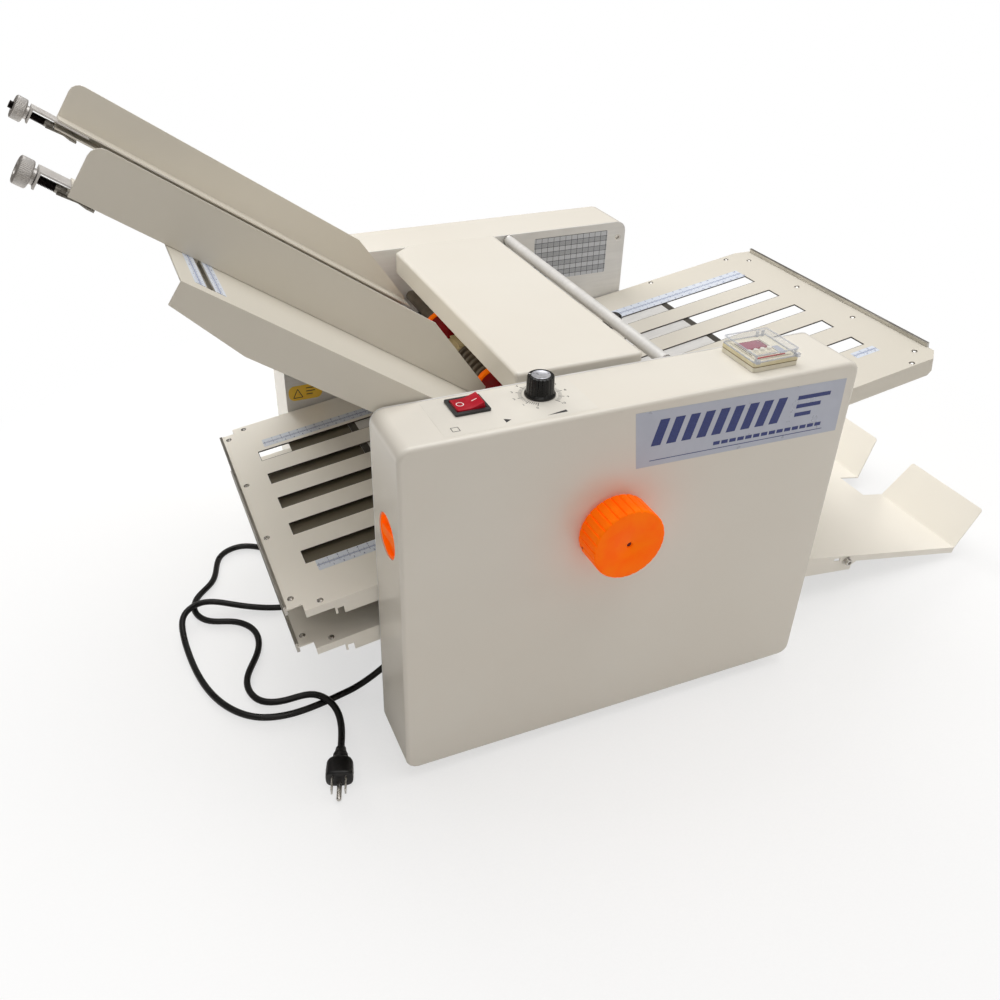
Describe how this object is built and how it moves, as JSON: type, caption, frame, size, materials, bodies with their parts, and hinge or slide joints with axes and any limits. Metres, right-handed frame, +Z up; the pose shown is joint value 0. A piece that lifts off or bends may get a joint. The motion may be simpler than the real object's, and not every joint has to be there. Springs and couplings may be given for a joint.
{
  "type": "paper folding machine",
  "caption": "Tabletop paper folding machine with a sloping feed table, adjustable side guides, slotted folding trays, an exit tray that pulls out and a power cord.",
  "frame": {"origin": "on the floor, under the middle of the machine's bounding box, the cord and plug left out", "axes": "+Z up; +X from the feed table's raised end to the exit tray, the machine's length; +Y from the side with the hand wheel to the far side"},
  "size_m": [1.0048, 0.5196, 0.5603],
  "materials": {
    "cream_paint": "semi-gloss cream paint over sheet steel",
    "shaded_cream_paint": "semi-gloss darker cream paint",
    "grey_steel": "plain grey sheet steel, lightly brushed",
    "chrome": "bright plated steel",
    "aluminium": "bare extruded or turned aluminium",
    "dark_steel": "blackened steel",
    "orange_plastic": "satin orange plastic",
    "black_plastic": "satin black plastic",
    "red_plastic": "glossy red plastic",
    "cream_plastic": "satin cream plastic",
    "white_plastic": "satin white plastic",
    "clear_plastic": "clear moulded plastic",
    "red_rubber": "dark red rubber",
    "black_rubber": "matt black rubber"
  },
  "bodies": {
    "frame": {"base_plate": "grey_steel", "counter_body": "cream_plastic", "exit_tray": "cream_paint", "feed_table": "cream_paint", "foot_front_left": "black_rubber", "foot_front_right": "black_rubber", "foot_rear_left": "black_rubber", "foot_rear_right": "black_rubber", "front_cover": "cream_paint", "front_side_plate": "grey_steel", "guide_rail": "aluminium", "lower_left_tray": "shaded_cream_paint", "motor": "dark_steel", "power_cord": "black_rubber", "power_plug": "black_rubber", "rear_cover": "cream_paint", "rear_side_plate": "grey_steel", "right_tray": "cream_paint", "separator_pad": "black_rubber", "strain_relief": "black_rubber", "switch_bezel": "black_plastic", "tie_rod": "grey_steel", "upper_left_tray": "shaded_cream_paint"},
    "main_roller": {"fold_roller_1": "black_rubber", "fold_gear_1": "white_plastic", "hand_wheel": "orange_plastic"},
    "upper_roller": {"fold_roller_2": "black_rubber", "fold_gear_2": "white_plastic"},
    "lower_roller": {"fold_roller_3": "black_rubber", "fold_gear_3": "white_plastic"},
    "feed_rollers": {"feed_shaft": "dark_steel", "front_feed_roller": "red_rubber", "front_roller_flange": "orange_plastic", "rear_feed_roller": "red_rubber", "rear_roller_flange": "orange_plastic", "toothed_feed_wheel": "cream_plastic", "feed_gear": "white_plastic"},
    "pinion": {"motor_pinion": "dark_steel"},
    "hood": {"top_hood": "cream_paint"},
    "front_guide": {"front_side_guide": "shaded_cream_paint", "front_guide_strap": "chrome", "front_clamp_rod": "dark_steel"},
    "rear_guide": {"rear_side_guide": "shaded_cream_paint", "rear_guide_strap": "chrome", "rear_clamp_rod": "dark_steel"},
    "front_nut": {"front_thumb_nut": "aluminium"},
    "rear_nut": {"rear_thumb_nut": "aluminium"},
    "adjuster": {"side_adjuster_knob": "orange_plastic"},
    "rocker": {"rocker_switch": "red_plastic"},
    "dial": {"speed_knob": "black_plastic"},
    "lid": {"counter_lid": "clear_plastic"},
    "button_1": {"counter_button_1": "white_plastic"},
    "button_2": {"counter_button_2": "white_plastic"},
    "button_3": {"counter_button_3": "white_plastic"},
    "button_4": {"counter_button_4": "white_plastic"},
    "upper_stop": {"upper_left_stop": "black_plastic"},
    "lower_stop": {"lower_left_stop": "black_plastic"},
    "right_stop_plate": {"right_stop": "black_plastic"},
    "extension": {"exit_tray_extension": "cream_paint"},
    "clamp_screw": {"exit_clamp_screw": "chrome"}
  },
  "joints": [
    {"name": "main_roller_turn", "type": "hinge", "parent": "frame", "child": "main_roller", "pos_m": [-0.08434, 0.01525, 0.2446], "axis": [0, 1, 0], "continuous": true},
    {"name": "upper_roller_turn", "type": "hinge", "parent": "frame", "child": "upper_roller", "pos_m": [-0.11317, 0.01525, 0.26616], "axis": [0, 1, 0], "continuous": true},
    {"name": "lower_roller_turn", "type": "hinge", "parent": "frame", "child": "lower_roller", "pos_m": [-0.08434, 0.01525, 0.2086], "axis": [0, 1, 0], "continuous": true},
    {"name": "feed_turn", "type": "hinge", "parent": "frame", "child": "feed_rollers", "pos_m": [-0.12274, 0.01525, 0.305], "axis": [0, 1, 0], "continuous": true},
    {"name": "pinion_turn", "type": "hinge", "parent": "frame", "child": "pinion", "pos_m": [-0.06377, 0.01525, 0.18409], "axis": [0, 1, 0], "continuous": true},
    {"name": "hood_hinge", "type": "hinge", "parent": "frame", "child": "hood", "pos_m": [-0.03274, 0.01525, 0.352], "axis": [0, 1, 0], "range_deg": [0, 100]},
    {"name": "front_guide_slide", "type": "slide", "parent": "frame", "child": "front_guide", "axis": [0, 1, 0], "range_m": [-0.05, 0.06]},
    {"name": "rear_guide_slide", "type": "slide", "parent": "frame", "child": "rear_guide", "axis": [0, 1, 0], "range_m": [-0.09, 0.02]},
    {"name": "front_nut_turn", "type": "hinge", "parent": "front_guide", "child": "front_nut", "pos_m": [-0.48825, -0.07025, 0.5435], "axis": [0.8241, 0, -0.5664], "range_deg": [-180, 180]},
    {"name": "rear_nut_turn", "type": "hinge", "parent": "rear_guide", "child": "rear_nut", "pos_m": [-0.48825, 0.14025, 0.5435], "axis": [0.8241, 0, -0.5664], "range_deg": [-180, 180]},
    {"name": "adjuster_turn", "type": "hinge", "parent": "frame", "child": "adjuster", "pos_m": [-0.27974, -0.19465, 0.2624], "axis": [1, 0, 0], "range_deg": [-90, 90]},
    {"name": "rocker_tilt", "type": "hinge", "parent": "frame", "child": "rocker", "pos_m": [-0.20399, -0.18255, 0.3643], "axis": [0, 1, 0], "range_deg": [0, 18]},
    {"name": "dial_turn", "type": "hinge", "parent": "frame", "child": "dial", "pos_m": [-0.14024, -0.18475, 0.363], "axis": [0, 0, 1], "range_deg": [0, 280]},
    {"name": "lid_hinge", "type": "hinge", "parent": "frame", "child": "lid", "pos_m": [0.07376, -0.16725, 0.3721], "axis": [-1, 0, 0], "range_deg": [0, 100]},
    {"name": "button_1_press", "type": "slide", "parent": "frame", "child": "button_1", "axis": [0, 0, -1], "range_m": [0, 0.0012], "stiffness_N_per_m": 400, "springref_m": -0.0005},
    {"name": "button_2_press", "type": "slide", "parent": "frame", "child": "button_2", "axis": [0, 0, -1], "range_m": [0, 0.0012], "stiffness_N_per_m": 400, "springref_m": -0.0005},
    {"name": "button_3_press", "type": "slide", "parent": "frame", "child": "button_3", "axis": [0, 0, -1], "range_m": [0, 0.0012], "stiffness_N_per_m": 400, "springref_m": -0.0005},
    {"name": "button_4_press", "type": "slide", "parent": "frame", "child": "button_4", "axis": [0, 0, -1], "range_m": [0, 0.0012], "stiffness_N_per_m": 400, "springref_m": -0.0005},
    {"name": "upper_stop_slide", "type": "slide", "parent": "frame", "child": "upper_stop", "axis": [0.9892, 0, 0.1464], "range_m": [-0.095, 0.005]},
    {"name": "lower_stop_slide", "type": "slide", "parent": "frame", "child": "lower_stop", "axis": [0.9892, 0, 0.1464], "range_m": [-0.095, 0.005]},
    {"name": "right_stop_slide", "type": "slide", "parent": "frame", "child": "right_stop_plate", "axis": [0.9866, 0, 0.1632], "range_m": [-0.01, 0.1]},
    {"name": "extension_slide", "type": "slide", "parent": "frame", "child": "extension", "axis": [0.9801, 0, -0.1985], "range_m": [0, 0.08]},
    {"name": "clamp_screw_turn", "type": "hinge", "parent": "frame", "child": "clamp_screw", "pos_m": [0.29195, -0.15675, 0.04778], "axis": [0, 1, 0], "range_deg": [-180, 180]}
  ],
  "couplings": [
    {"joint": "upper_roller_turn", "follows": "main_roller_turn", "ratio": -1},
    {"joint": "lower_roller_turn", "follows": "main_roller_turn", "ratio": -1},
    {"joint": "feed_turn", "follows": "main_roller_turn", "ratio": 0.81818},
    {"joint": "pinion_turn", "follows": "main_roller_turn", "ratio": 1.2857}
  ]
}
